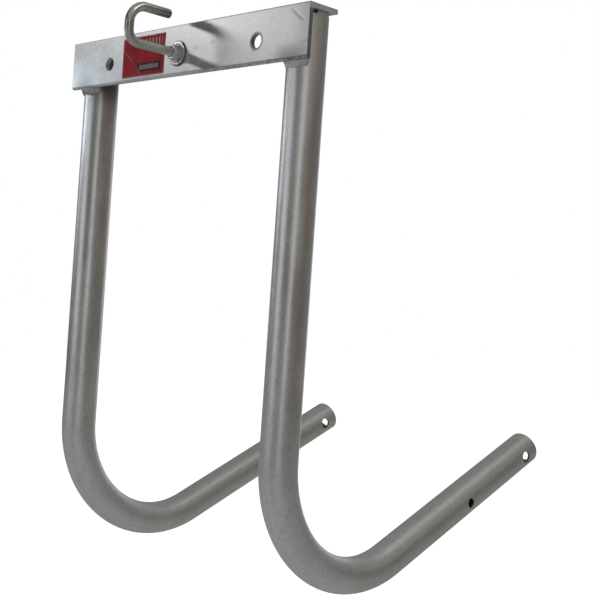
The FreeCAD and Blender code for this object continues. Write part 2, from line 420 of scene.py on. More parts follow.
def hole_rings(centre, hole, edge, radius, side):
    """The skin round one cross hole, as rings from the grid's edge on the outer wall to that on the inner.

    A ring is the edge's square drawn in towards the hole's circle, on the wall. At the circle it rolls
    over a small lip, goes through the wall along X, and opens out again on the other wall.
    edge holds the distance along the tube and the angle of the square's points.
    """
    draw_in = np.array(DRAWN_IN)[:, None]
    roll = np.linspace(0, np.pi / 2, LIP_ROWS)[1:, None]
    rings = []
    for wall, inward in ((radius, 1), (radius - TUBE_WALL, -1)):
        s_edge = edge[0] - centre
        h_edge = wall * np.sin(edge[1])
        compass = np.arctan2(h_edge, s_edge)
        mouth = hole + LIP
        s_flat = (1 - draw_in) * s_edge + draw_in * mouth * np.cos(compass)
        h_flat = (1 - draw_in) * h_edge + draw_in * mouth * np.sin(compass)
        narrow = hole + LIP * (1 - np.sin(roll))
        s = np.concatenate([s_flat, narrow * np.cos(compass)])
        h = np.concatenate([h_flat, narrow * np.sin(compass)])
        sink = np.concatenate([draw_in * 0, LIP * (1 - np.cos(roll))]) * inward
        x = np.sqrt(wall ** 2 - h ** 2) - sink
        cut = np.concatenate([draw_in * 0, roll * 0 + 1]) + compass * 0
        rings.append(np.stack([centre + s, x * side, h * side, cut], -1)[::inward])
    return np.concatenate(rings)


def straight_tube(length, radius):
    """The tube before it is bent, with its cross holes: its vertices and its quads.

    A vertex has its distance along, its places across and outward from the axis, and the marks for cut
    and for inside. The section of tube_rows is carried round the axis. At a hole the quads of both walls
    are left out, and the rings of hole_rings join the gap in the outer wall to that in the inner.
    """
    along, *section = tube_rows(length, radius)
    s, r, cut, inside = np.array(section)[:, :, None]
    angle = full_turn(TUBE_COLUMNS)
    index = np.arange(s.size * TUBE_COLUMNS).reshape(s.size, TUBE_COLUMNS)
    walls = np.broadcast_arrays(s, r * np.cos(angle), r * np.sin(angle), cut, inside)
    vertices = [np.stack(walls, -1).reshape(-1, 5)]
    keep = np.ones(index.shape, bool)
    # The section comes back up the inner wall, so this is the inner row under each outer one.
    inner_row = s.size // 2 + along.size - 1 - np.arange(along.size)
    skins = []
    for back, hole, half, rows in CROSS_HOLES:
        first = int(np.argmin(np.abs(along - (length - back - hole - HOLE_MARGIN))))
        band = np.arange(rows)
        span = np.arange(2 * half)
        row = first + np.concatenate([span * 0, band, span * 0 + rows, rows - band])
        turned = np.concatenate([span, band * 0 + 2 * half, 2 * half - span, band * 0]) - half
        edge = (along[row], turned * 2 * np.pi / TUBE_COLUMNS)
        for side, middle in ((1, 0), (-1, TUBE_COLUMNS // 2)):
            ring = hole_rings(length - back, hole, edge, radius, side)
            number = sum(map(len, vertices)) + np.arange(ring[..., 0].size).reshape(ring.shape[:2])
            inner_half = np.arange(ring.shape[0])[:, None, None] >= ring.shape[0] // 2
            inner_half = np.broadcast_to(inner_half, ring[..., :1].shape)
            vertices.append(np.concatenate([ring, inner_half], -1).reshape(-1, 5))
            column = (turned + middle) % TUBE_COLUMNS
            outer_edge = index[row, column][None]
            inner_edge = index[inner_row[row], column][None]
            skins.append(grid_faces(np.concatenate([outer_edge, number, inner_edge])))
            hidden = (middle - half + span) % TUBE_COLUMNS
            keep[np.ix_(first + band, hidden)] = False
            keep[np.ix_(inner_row[first + band] - 1, hidden)] = False
    faces = np.concatenate([grid_faces(index, close_rows=True)[keep.ravel()]] + skins)
    used, faces = np.unique(faces, return_inverse=True)
    return np.concatenate(vertices)[used], faces.reshape(-1, 4)


def j_tube(node):
    """One J tube: the straight tube carried round the bent line, and squeezed slightly oval in the bend.

    Its marks say how much a place has of the weld's smoke and painted shade, on the inner side near the
    top, of painted highlight, on the outer front of the top, and of the satin and the handling that grow
    towards the arm.
    """
    low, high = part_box(node)
    radius = (high.x - low.x) / 2
    leg = high.z - low.z - radius - BEND_RADIUS
    runs = ((leg, 0.0), (BEND_RADIUS * BEND_TURN, BEND_TURN), (ARM_LENGTH, 0.0))
    length = sum(run for run, turn in runs)
    arm = length - ARM_LENGTH
    vertices, faces = straight_tube(length, radius)
    s, across, outward, fresh_cut, inside = vertices.T
    place, heading = bent_line(s, (low.y + radius, high.z), -np.pi / 2, runs)
    squeeze = OVAL * ramp(s, leg, leg + OVAL_FADE) * ramp(s, arm, arm - OVAL_FADE)
    centre_x = (low.x + high.x) / 2
    points = round_the_line(centre_x, place, heading, across * (1 + squeeze), outward * (1 - squeeze))
    outer = np.sign(low.x) * across / radius
    front = (low.y + radius - points[:, 1]) / radius
    # Painted highlight on the outer front of the leg's top.
    painted_highlight = ramp(HIGHLIGHT_OUTER * outer + HIGHLIGHT_FRONT * front, *HIGHLIGHT_SIDE) * ramp(s, *HIGHLIGHT_LENGTH)
    marks = {"unbent": np.stack([across, outward, s + STREAK_SHIFT * centre_x], -1),
             "fresh_cut": fresh_cut,
             "inside": inside,
             "satin": ramp(s, leg - SATIN_BEFORE_BEND, leg + SATIN_IN_BEND),
             "handled": ramp(s, arm - HANDLED_BEFORE_ARM, arm),
             # Weld smoke and painted shade under the bar, on the inner side near the top.
             "weld_smoke_and_shade": ramp(s, *SMOKE_AND_SHADE_REACH) * np.clip(-outer, 0, 1),
             "painted_highlight": painted_highlight}
    return points, faces.tolist(), marks


def tube_finish():
    """Drawn aluminium: streaks along the metal, and cloudy rubs from handling.

    The bend and the arm are a sandy satin, cool and then warm. The leg has a painted highlight on the outer
    front of its top, and weld smoke with painted shade on its inner side near the top. Cut edges are bright,
    and the inside is dark.
    """
    material, wire = new_finish("drawn_aluminium", {"Metallic": 1.0})
    metal = wire.mark("unbent", "Vector")
    inside = wire.mark("inside")
    satin = wire.mark("satin")
    handled = wire.mark("handled")
    painted_highlight = wire.mark("painted_highlight")
    bands = metal.noise((95, 95, 1.6), 3.0)
    draw_lines = metal.noise((1300, 1300, 7), 2.0)
    clouds = metal.noise((45, 45, 16), 5.0, 0.6)
    grain = metal.noise((700, 700, 320), 2.0)
    sand = metal.noise((360, 360, 230), 3.0, 0.6)
    waves = metal.noise((55, 55, 14), 2.0)
    rubs = metal.noise((70, 70, 420), 2.0).step(0.66, 0.76) * clouds.step(0.45, 0.62)
    # Weld smoke with painted shade under the bar.
    smoke_and_shade = wire.mark("weld_smoke_and_shade") * (0.5 + clouds * 0.8)
    tone = (bands * 0.35 + clouds * 0.5 + draw_lines * 0.15).step(0.36, 0.64)
    colour = tone.blend(DULL_DRAWN, BRIGHT_DRAWN)
    colour = (rubs * 0.4).blend(colour, RUB_GREY)
    colour = (satin * 0.5).blend(colour, handled.blend(COOL_SATIN, WARM_SATIN))
    colour = (sand.step(0.50, 0.66) * 0.25).blend(colour, SAND_GREY)
    # Painted highlight on the outer front of the leg's top.
    colour = (painted_highlight * 0.6).blend(colour, PAINTED_HIGHLIGHT_WHITE)
    colour = smoke_and_shade.blend(colour, SMOKE_AND_SHADE_BLACK)
    colour = (wire.mark("fresh_cut") * 0.8).blend(colour, FRESH_METAL)
    colour = (inside * 0.75).blend(colour, DARK_INSIDE)
    rough = 0.285 + clouds * 0.12 + bands * 0.05 + satin * 0.115
    rough = rough - handled * 0.02 + inside * 0.15 + painted_highlight * 0.05
    height = draw_lines * 0.15 + grain * 0.12 + sand * 0.5 + bands * 0.2 + waves * 2.2
    normal = height.relief(0.10 * MM, 0.5)
    return wear(material, {"Base Color": colour, "Roughness": rough, "Normal": normal})


drawn_aluminium = tube_finish()
for side in ("left", "right"):
    points, faces, marks = j_tube(side + "_j_tube")
    make_piece(side + "_tube", points, faces, drawn_aluminium, side + "_j_tube", marks)

# Welds. Each tube is welded to the bar with five runs of aluminium bead: one round the tube's front under
# the bar's foot, one up each side in the groove behind the front leg, and on each side a short one that
# seals the gap between the tube's top and the flange.
BEAD_PITCH = 2.1 * MM
BEAD_RIPPLE = 0.35 * MM
CREST_BOW = 0.9
# How the ripples lose step along a run: two waves, each with its share, its length and its start.
UNEVEN = ((0.10, 3.7 * MM, 0.0), (0.07, 1.9 * MM, 1.3))
END_FADE = 7.0 * MM
END_SIZE = 0.55
SECTION_COUNT = 18
UNDER_REACH = 4.7 * MM
UNDER_DROP = 7.0 * MM
UNDER_LIFT = 2.7 * MM
UNDER_ROOT = 0.4 * MM
UNDER_BITE = 0.2 * MM
UNDER_SWELL = {"left": 1.0 * MM, "right": -1.2 * MM}
UNDER_HALF_ANGLE = math.radians(52)
UNDER_ROWS = 150
# How the lower toe wanders round the tube: two waves, each with its share, its rate and its start.
UNDER_WANDER = {"left": ((0.11, 6.3, -6.56), (0.07, 14.7, 2.0)),
                "right": ((0.11, 6.3, 6.56), (0.07, 14.7, 2.0))}
GROOVE_FOOT = 0.8 * MM
GROOVE_ROOT = 9.0 * MM
GROOVE_TOE = 17.0 * MM
GROOVE_BITE = 0.3 * MM
GROOVE_TUBE_ANGLE = math.radians(43)
GROOVE_SWELL = 1.2 * MM
GROOVE_ROWS = 200
SEAL_FROM = math.radians(-22)
SEAL_TO = math.radians(34)
SEAL_ROOT = 1.6 * MM
SEAL_REACH = 1.1 * MM
SEAL_DROP = 1.1 * MM
SEAL_BITE = 0.1 * MM
SEAL_SWELL = 0.2 * MM
SEAL_ROWS = 90
BEAD_METAL = (0.62, 0.62, 0.63)
BEAD_SOOT_AND_SHADE = (0.24, 0.235, 0.25)


def bead(root, toe_a, toe_b, swell):
    """A weld run as one closed skin: a curved face from toe to toe, and two flats back to the root.

    The face stands off the straight line between the toes by swell times the sine of the way across,
    hollow where swell is below 0. Along the run it rises and falls in ripples whose crests bow forward
    in the middle, and it fades into the root at both ends.
    """
    steps = np.linalg.norm(np.diff(root, axis=0), axis=1)
    run = np.concatenate([[0.0], np.cumsum(steps)])
    across = np.linspace(0, 1, SECTION_COUNT)
    wave = np.sin(np.pi * across)
    uneven = sum(share * np.sin(run / length + start) for share, length, start in UNEVEN)
    phase = (run / BEAD_PITCH + uneven)[:, None] - CREST_BOW * wave
    ripple = 1 - (phase - np.floor(phase)) ** 2
    rise = wave * (swell + BEAD_RIPPLE * (ripple - 0.5 + 2 * uneven[:, None]))
    out = (toe_a + toe_b) / 2 - root
    out = out / np.linalg.norm(out, axis=1, keepdims=True)
    line = toe_a[:, None] + across[:, None] * (toe_b - toe_a)[:, None]
    face = line + rise[..., None] * out[:, None]
    back = np.stack([(2 * toe_b + root) / 3, (toe_b + 2 * root) / 3, root,
                     (toe_a + 2 * root) / 3, (2 * toe_a + root) / 3], 1)
    section = np.concatenate([face, back], 1)
    fade = np.clip(np.minimum(run, run[-1] - run) / END_FADE, 0, 1)
    size = END_SIZE + (1 - END_SIZE) * np.sqrt(1 - (1 - fade) ** 2)
    points = root[:, None] + size[:, None, None] * (section - root[:, None])
    number = np.arange(points[..., 0].size).reshape(points.shape[:2])
    toes = np.concatenate([np.abs(2 * across - 1) ** 3, np.ones(back.shape[1])])
    crest = np.concatenate([ripple, np.zeros(back.shape[:2])], 1)
    soot = np.broadcast_to(toes, number.shape)
    caps = [number[0][::-1].tolist(), number[-1].tolist()]
    return points.reshape(-1, 3), grid_faces(number).tolist() + caps, soot.ravel(), crest.ravel()


def under_run(axis, radius, side):
    """The run round the tube's front, under the bar's foot, with a lower toe that wanders up and down."""
    up = np.array([0.0, 0.0, 1.0])
    foot = axis + up * BAR_LOW.z
    turn = np.linspace(-UNDER_HALF_ANGLE, UNDER_HALF_ANGLE, UNDER_ROWS)
    wander = sum(share * np.sin(turn * rate + start) for share, rate, start in UNDER_WANDER[side])
    drop = (UNDER_DROP * (1 + wander))[:, None]
    front = np.stack([np.sin(turn), -np.cos(turn), turn * 0], -1)
    root = foot + front * (radius - UNDER_ROOT) + up * UNDER_LIFT
    bar_toe = foot + front * (radius + UNDER_REACH) + up * UNDER_LIFT
    tube_toe = foot + front * (radius - UNDER_BITE) - up * drop
    return root, bar_toe, tube_toe, UNDER_SWELL[side]


def groove_run(axis, radius, top, hand):
    """A run up the groove between the tube and the bar's back, to the right or left of the tube."""
    climb = np.linspace(BAR_LOW.z + GROOVE_FOOT, top, GROOVE_ROWS)
    stand = np.stack([climb * 0 + axis[0], climb * 0, climb], -1)
    tube_x = hand * radius * math.sin(GROOVE_TUBE_ANGLE)
    tube_y = axis[1] - radius * math.cos(GROOVE_TUBE_ANGLE)
    root = stand + [hand * GROOVE_ROOT, BAR_BACK, 0]
    bar_toe = stand + [hand * GROOVE_TOE, BAR_BACK - GROOVE_BITE, 0]
    return root, bar_toe, stand + [tube_x, tube_y, 0], GROOVE_SWELL


def seal_run(axis, radius, top, hand):
    """A short run round the tube's right or left side, from its top edge up to the flange."""
    up = np.array([0.0, 0.0, 1.0])
    flange = BAR_HIGH.z - BAR_BACK
    turn = np.linspace(SEAL_FROM, SEAL_TO, SEAL_ROWS)
    out = np.stack([hand * np.cos(turn), np.sin(turn), turn * 0], -1)
    root = axis + out * (radius - SEAL_ROOT) + up * (top + flange) / 2
    bar_toe = axis + out * (radius + SEAL_REACH) + up * (flange + SEAL_BITE)
    tube_toe = axis + out * (radius - SEAL_BITE) + up * (top - SEAL_DROP)
    return root, bar_toe, tube_toe, SEAL_SWELL


def weld_runs(side):
    """The five runs of one weld: root line, two toe lines and swell. On the left the toes change places."""
    low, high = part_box(side + "_j_tube")
    radius = (high.x - low.x) / 2
    axis = np.array([(low.x + high.x) / 2, low.y + radius, 0.0])
    yield under_run(axis, radius, side)
    for kind in (groove_run, seal_run):
        root, bar_toe, tube_toe, swell = kind(axis, radius, high.z, -1)
        yield root, tube_toe, bar_toe, swell
        yield kind(axis, radius, high.z, 1)


def weld_finish():
    """Cast-looking bead metal: bright ripple crests, grey soot at the toes, and painted shade over the left
    weld.
    """
    material, wire = new_finish("weld_bead", {"Metallic": 1.0})
    place = wire.node("TexCoord", {}, "Object")
    soot = wire.mark("soot")
    spots = place.noise((420, 420, 420), 4.0, 0.65)
    # Painted shade over the left weld.
    on_left = place.along((1, 0, 0)).fall(-TUBE_AWAY / 2, TUBE_AWAY / 2)
    darkening = (soot * 0.5 + spots * 0.65 + on_left * 0.22 - wire.mark("crest") * 0.2).step(0.12, 0.80)
    colour = darkening.blend(BEAD_METAL, BEAD_SOOT_AND_SHADE)
    rough = 0.36 + spots * 0.16 + soot * 0.12
    normal = spots.relief(0.10 * MM, 0.5)
    return wear(material, {"Base Color": colour, "Roughness": rough, "Normal": normal})


def joined(shells):
    """Several closed skins as one mesh: their points, faces and marks, numbered one after another."""
    points, faces, marks, count = [], [], [], 0
    for shell_points, shell_faces, *shell_marks in shells:
        faces += [[corner + count for corner in face] for face in shell_faces]
        points.append(shell_points)
        marks.append(shell_marks)
        count += len(shell_points)
    return np.concatenate(points), faces, [np.concatenate(values) for values in zip(*marks)]


weld_bead = weld_finish()
for side in ("left", "right"):
    points, faces, (soot, crest) = joined(bead(*run) for run in weld_runs(side))
    marks = {"soot": soot, "crest": crest}
    make_piece(side + "_weld_bead", points, faces, weld_bead, side + "_weld", marks)

# Hook bolt. A round steel rod with a dull plating, bent cold into an open hook. Its straight end is
# threaded, goes through the bar's middle hole and is clamped there by the two nuts.
THREAD_PITCH = 1.5875 * MM
THREAD_DEPTH = 0.95 * MM
THREAD_LENGTH = 45.5 * MM
THREAD_ROWS = 11
THREAD_FLANK = (0.14, 0.84)
FADING_TURNS = 2.5
LOWER_BEND = 11.9 * MM
HOOK_RISE = 6.5 * MM
UPPER_BEND = 19.5 * MM
HOOK_RETURN = 30.5 * MM
ROD_STEP = 1.0 * MM
ROD_CHAMFER = 0.8 * MM
CHAMFER_ROWS = 5
END_ROUND = 0.25 * MM
END_FLAT = 0.15
ROD_COLUMNS = 56
# Where the wear changes, by distance along the rod from its threaded end.
OLIVE_FADES = (72 * MM, 88 * MM)
RISER_FADES = (95 * MM, 101 * MM)
RUB_BEGINS = (97 * MM, 105 * MM)
RUB_FADES = (120 * MM, 126 * MM)
TIP_BEGINS = (132 * MM, 157 * MM)
DULL_PLATE = (0.46, 0.45, 0.42)
BRIGHT_PLATE = (0.74, 0.71, 0.69)
OLIVE_PLATE = (0.44, 0.48, 0.40)
DARK_PLATE = (0.24, 0.23, 0.23)
RUBBED_PLATE = (0.92, 0.90, 0.89)
THREAD_ZINC = (0.74, 0.79, 0.79)
GROOVE_DIRT = (0.14, 0.14, 0.13)


def hook_rod():
    """The rod as a round section carried along the bent line, with a helical thread cut into its start.

    The radius drops by the thread's depth times a flat-topped zigzag of the distance along in pitches,
    less the angle in turns, so that the ridge climbs one pitch in each turn. The thread fades out over
    its last turns, and each end is chamfered and closed by a flat cap.
    """
    low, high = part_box("hook_bolt")
    radius = (high.x - low.x) / 2
    reach = high.y - low.y - radius - LOWER_BEND
    quarter = np.pi / 2
    runs = ((reach, 0.0), (LOWER_BEND * quarter, -quarter), (HOOK_RISE, 0.0),
            (UPPER_BEND * quarter, -quarter), (HOOK_RETURN, 0.0))
    length = sum(run for run, turn in runs)
    threaded = np.arange(ROD_CHAMFER, THREAD_LENGTH, THREAD_PITCH / THREAD_ROWS)
    plain = np.arange(THREAD_LENGTH, length - ROD_CHAMFER, ROD_STEP)
    chamfer = np.linspace(0, ROD_CHAMFER, CHAMFER_ROWS)[:-1]
    s = np.concatenate([np.zeros(2), chamfer, threaded, plain, length - chamfer[::-1], np.full(2, length)])
    trim = np.minimum(np.minimum(s, length - s) - ROD_CHAMFER, 0)
    trim[[0, -1]] = (END_FLAT - 1) * radius
    trim[[1, -2]] = -ROD_CHAMFER - END_ROUND
    angle = full_turn(ROD_COLUMNS)
    turns = s[:, None] / THREAD_PITCH - angle / (2 * np.pi)
    zigzag = np.abs(2 * (turns - np.floor(turns)) - 1)
    fade = ramp(s, THREAD_LENGTH, THREAD_LENGTH - FADING_TURNS * THREAD_PITCH)[:, None]
    groove = fade * ramp(zigzag, *THREAD_FLANK)
    r = np.minimum(radius - THREAD_DEPTH * groove, radius + trim[:, None])
    across = r * np.cos(angle)
    outward = r * np.sin(angle)
    place, heading = bent_line(s, (high.y, 0.0), np.pi, runs)
    points = round_the_line(0.0, place[:, None], heading[:, None], across, outward)
    number = np.arange(r.size).reshape(r.shape)
    faces = grid_faces(number).tolist() + [number[0][::-1].tolist(), number[-1].tolist()]
    unbent = np.stack(np.broadcast_arrays(across, outward, s[:, None]), -1)
    marks = {"unbent": unbent.reshape(-1, 3), "groove": groove.ravel(),
             "thread": np.broadcast_to(fade, r.shape).ravel()}
    return points.reshape(-1, 3), faces, marks


def hook_finish():
    """Dull plated rod: cloudy grey with drawn lines and specks, and cleaner zinc on the thread.

    The shank has an olive cast, the riser is slightly dark, the upper bend is rubbed bright, and the tip
    is dark. Dirt sits in the thread's grooves.
    """
    material, wire = new_finish("dull_plated_steel", {"Metallic": 1.0})
    metal = wire.mark("unbent", "Vector")
    clouds = metal.noise((110, 110, 45), 4.0, 0.6)
    draw_lines = metal.noise((1500, 1500, 25), 2.0)
    specks = metal.noise((900, 900, 900), 2.0)
    along = metal.along((0, 0, 1))
    olive = along.fall(*OLIVE_FADES)
    riser = (1 - olive) * along.fall(*RISER_FADES)
    rubbed = along.step(*RUB_BEGINS) * along.fall(*RUB_FADES)
    tip = along.step(*TIP_BEGINS)
    darkening = wire.mark("groove") * 0.55 + specks.step(0.62, 0.75) * 0.35
    colour = clouds.step(0.35, 0.65).blend(DULL_PLATE, BRIGHT_PLATE)
    colour = (olive * 0.6).blend(colour, OLIVE_PLATE)
    colour = (riser * 0.15 + tip * 0.75).blend(colour, DARK_PLATE)
    colour = (rubbed * 0.75).blend(colour, RUBBED_PLATE)
    colour = (wire.mark("thread") * 0.85).blend(colour, THREAD_ZINC)
    colour = darkening.blend(colour, GROOVE_DIRT)
    rough = 0.23 + clouds * 0.14 + specks * 0.06 - rubbed * 0.12
    height = draw_lines * 0.5 + clouds * 0.8 + specks * 0.4
    normal = height.relief(0.04 * MM, 0.6)
    return wear(material, {"Base Color": colour, "Roughness": rough, "Normal": normal})


points, faces, marks = hook_rod()
threaded_hook = make_piece("threaded_hook", points, faces, hook_finish(), "hook_bolt", marks)

# Washers and nuts. Zinc-plated steel: a punched flat washer and a forged hex nut on each side of the bar,
# drawn up tight. The nut's corners are turned down to a cone on its outer face.
NUT_FLAT_RADIUS = 7.15 * MM
NUT_CORNER_RADIUS = 1.135 * NUT_FLAT_RADIUS
NUT_CORNER_ROUND = 0.25 * MM
NUT_CONE_RADIUS = 0.985 * NUT_FLAT_RADIUS
NUT_CONE_SLOPE = math.radians(30)
NUT_CONE_ROUND = 0.3 * MM
NUT_CONE_DEPTH = 2.2 * MM
NUT_BORE_SHARE = 0.98
NUT_SIDE_ROWS = 5
NUT_CONE_ROWS = 22
COUNTERSINK = 0.7 * MM
EDGE_ROUND = 0.25 * MM
EDGE_ROWS = 5
# Rings that keep the flat faces flat: shares of the flat radius, of the seat's width, and of the rim.
NUT_FACE_RINGS = (0.92, 0.85, 0.78)
NUT_SEAT_RINGS = (0.6, 0.95)
WASHER_FACE_RINGS = (0.86, 0.6)
WASHER_SEAT_RINGS = (0.6, 0.9)
WASHER_BORE = 5.15 * MM
PUNCH_ROUND = 0.55 * MM
PUNCH_BREAK = 0.2 * MM
PUNCH_ROWS = 6
RING_COLUMNS = 120
# Where the dirt and painted shade on the plating begin and end, by distance from the bolt's axis.
GREASE_AND_SHADE_FADES = (5.3 * MM, 6.4 * MM)
CORNER_BEGINS = (7.9 * MM, 8.5 * MM)
CORNER_FADES = (9.4 * MM, 11.0 * MM)
RIM_BEGINS = (11.5 * MM, 12.5 * MM)
DULL_ZINC = (0.62, 0.63, 0.64)
BRIGHT_ZINC = (0.95, 0.96, 0.96)
ZINC_DIRT_AND_SHADE = (0.10, 0.10, 0.095)


def softer_min(first, second, width):
    """The smaller of two numbers, with the corner between them rounded over a width."""
    near = np.clip(0.5 + (second - first) / (2 * width), 0, 1)
    return second + (first - second) * near - width * near * (1 - near)


def ring_skin(depth, radius, seat, outward):
    """A closed section carried round the bolt's axis: its depth from the seat, and a radius by angle."""
    depth, radius, angle = np.broadcast_arrays(depth, radius, full_turn(RING_COLUMNS))
    points = np.stack([radius * np.cos(angle), seat + outward * depth, radius * np.sin(angle)], -1)
    number = np.arange(angle.size).reshape(angle.shape)
    if outward > 0:
        number = number[:, ::-1]
    return points.reshape(-1, 3), grid_faces(number, close_rows=True).tolist()


def hex_nut(node, outward):
    """A hex nut: the radius is that of a hexagon, held inside a cone near the outer face.

    A hexagon's radius is its flat radius over the cosine of the angle from the nearest flat's middle.
    The section goes up the side, in over the outer face, down the countersunk bore and out to the seat.
    """
    low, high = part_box(node)
    thick = high.y - low.y
    seat = low.y if outward > 0 else high.y
    bolt_low, bolt_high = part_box("hook_bolt")
    bore = (bolt_high.x - bolt_low.x) / 2 * NUT_BORE_SHARE
    angle = full_turn(RING_COLUMNS)
    hexagon = NUT_FLAT_RADIUS / np.cos(angle % (np.pi / 3) - np.pi / 6)
    hexagon = softer_min(hexagon, angle * 0 + NUT_CORNER_RADIUS, NUT_CORNER_ROUND)
    curve = np.linspace(0, np.pi / 2, EDGE_ROWS)
    cone_start = thick - NUT_CONE_DEPTH
    side = np.concatenate([EDGE_ROUND * (1 - np.cos(curve)),
                           np.linspace(EDGE_ROUND, cone_start, NUT_SIDE_ROWS)[1:],
                           np.linspace(cone_start, thick, NUT_CONE_ROWS)[1:]])[:, None]
    cone = NUT_CONE_RADIUS + (thick - side) / math.tan(NUT_CONE_SLOPE)
    wall = softer_min(hexagon + side * 0, cone + angle * 0, NUT_CONE_ROUND)
    wall[:EDGE_ROWS] -= EDGE_ROUND * (1 - np.sin(curve))[:, None]
    inward = np.array(NUT_FACE_RINGS)[:, None] * NUT_FLAT_RADIUS
    mouth = bore + COUNTERSINK
    bore_depth = np.array([thick, thick - COUNTERSINK * 0.6, thick - 1.5 * COUNTERSINK, thick / 2,
                           1.5 * COUNTERSINK, COUNTERSINK * 0.6, 0.0])[:, None]
    bore_radius = np.array([mouth, bore + COUNTERSINK * 0.4, bore, bore,
                            bore, bore + COUNTERSINK * 0.4, mouth])[:, None]
    seat_face = np.array(NUT_SEAT_RINGS)[:, None] * (wall[:1] - mouth) + mouth
    depth = np.concatenate([side, inward * 0 + thick, bore_depth, seat_face[:, :1] * 0])
    radius = np.concatenate([wall, inward + angle * 0, bore_radius + angle * 0, seat_face])
    return ring_skin(depth, radius, seat, outward)


def flat_washer(node, outward):
    """A punched washer: an outer edge rounded over on the punch side, and a square bore with broken edges.

    The section goes up the rim, in over the outer face, down the bore and out over the seat.
    """
    low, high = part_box(node)
    thick = high.y - low.y
    seat = low.y if outward > 0 else high.y
    outer = (high.x - low.x) / 2
    curve = np.linspace(0, np.pi / 2, PUNCH_ROWS)
    rising = 1 - np.cos(curve)
    falling = 1 - np.sin(curve)
    depth = [PUNCH_BREAK * rising, thick - PUNCH_ROUND * falling, np.array([thick, thick]),
             thick - PUNCH_BREAK * rising, PUNCH_BREAK * falling, np.array([0.0, 0.0])]
    radius = [outer - PUNCH_BREAK * falling, outer - PUNCH_ROUND * rising,
              np.array(WASHER_FACE_RINGS) * outer,
              WASHER_BORE + PUNCH_BREAK * falling, WASHER_BORE + PUNCH_BREAK * rising,
              np.array(WASHER_SEAT_RINGS) * outer]
    return ring_skin(np.concatenate(depth)[:, None], np.concatenate(radius)[:, None], seat, outward)


def zinc_finish():
    """Zinc plating: pale grey with a faint blue, dull clouds and spanner rubs.

    Black grease and painted shade sit round the thread, grime and painted contact shade on the nut's
    corners and on the washer round the nut, and painted shade on the washer's rim.
    """
    material, wire = new_finish("zinc_plate", {"Metallic": 1.0})
    place = wire.node("TexCoord", {}, "Object")
    clouds = place.noise((190, 190, 190), 4.0, 0.6)
    rubs = place.noise((1700, 140, 420), 2.0)
    from_bolt = place.from_axis(0.0)
    # Grease and painted shade round the bore and its countersink.
    grease_and_shade = from_bolt.fall(*GREASE_AND_SHADE_FADES)
    # Grime and painted contact shade on the nut's corners and on the washer round the nut.
    corner = from_bolt.step(*CORNER_BEGINS) * from_bolt.fall(*CORNER_FADES)
    # The last term is painted shade on the washer's rim.
    darkening = rubs.step(0.56, 0.70) * 0.35 + grease_and_shade * 0.8 + corner * 0.75 + from_bolt.step(*RIM_BEGINS) * 0.7
    colour = darkening.blend(clouds.step(0.34, 0.66).blend(DULL_ZINC, BRIGHT_ZINC), ZINC_DIRT_AND_SHADE)
    rough = 0.19 + clouds * 0.12 + rubs * 0.06 + grease_and_shade * 0.2
    height = clouds + rubs * 0.5
    normal = height.relief(0.04 * MM, 0.6)
    return wear(material, {"Base Color": colour, "Roughness": rough, "Normal": normal})


zinc_plate = zinc_finish()
for end, outward in (("front", -1), ("rear", 1)):
    for kind, shape in (("_washer", flat_washer), ("_nut", hex_nut)):
        points, faces = shape(end + kind, outward)
        make_piece(end + kind + "_ring", points, faces, zinc_plate, end + kind, {})

# Label. A red vinyl sticker with round corners, pressed on the bar's face left of the bolt. Its print is
# only plain fields: a dark block with pale bars, a row of pale bars above it and a thin pale border.
LABEL_CORNER = 1.6 * MM
LABEL_FRONT = 0.22 * MM
LABEL_FILM = 0.16 * MM
CORNER_ROWS = 9
LABEL_ROWS = 28
LABEL_COLUMNS = 61
# A field of the print: its left, right, bottom and top, in shares of the label's width and height.
BLOCK = (0.36, 0.92, 0.12, 0.33)
BLOCK_BARS = (0.42, 0.86, 0.17, 0.28)
TOP_BARS = (0.30, 0.94, 0.74, 0.92)
INSIDE_BORDER = (0.02, 0.985, 0.03, 0.97)
FIELD_SOFT = 0.006
BLOCK_BAR_COUNT = 24
BLOCK_BAR_SHARE = 0.5
TOP_BAR_COUNT = 13
TOP_BAR_SHARE = 0.45
BAR_SOFT = 0.08
SCRATCH_SLANT = 0.9
DEEP_RED = (0.36, 0.008, 0.020)
FADED_RED = (0.48, 0.022, 0.040)
BLOCK_BLACK = (0.03, 0.028, 0.022)
BAR_WHITE = (0.72, 0.68, 0.66)
WORN_PINK = (0.78, 0.66, 0.66)


def label_sheet():
    """A flat grid whose rows are shortened to the corner arcs at the top and bottom, with a faint ripple."""
    low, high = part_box("label")
    width = high.x - low.x
    height = high.z - low.z
    arc = np.linspace(0, np.pi / 2, CORNER_ROWS)
    tail = LABEL_CORNER * (1 - np.cos(arc))
    middle = np.linspace(LABEL_CORNER, height - LABEL_CORNER, LABEL_ROWS)[1:-1]
    v = np.concatenate([tail, middle, height - tail[::-1]])
    into_corner = np.maximum(np.abs(v - height / 2) - (height / 2 - LABEL_CORNER), 0)
    round_off = np.sqrt(np.maximum(LABEL_CORNER ** 2 - into_corner ** 2, 0))
    u = np.linspace(-1, 1, LABEL_COLUMNS) * (width / 2 - LABEL_CORNER + round_off)[:, None]
    v = np.broadcast_to(v[:, None], u.shape)
    ripple = 0.02 * MM * np.sin(u / (6 * MM) + v / (9 * MM)) + 0.015 * MM * np.sin(v / (4 * MM))
    points = np.stack([(low.x + high.x) / 2 + u, ripple - LABEL_FRONT, low.z + v], -1).reshape(-1, 3)
    number = np.arange(u.size).reshape(u.shape)
    printed = np.stack([u / width + 0.5, v / height, u * 0], -1).reshape(-1, 3)
    return points, grid_faces(number, close_columns=False).tolist(), {"printed": printed}


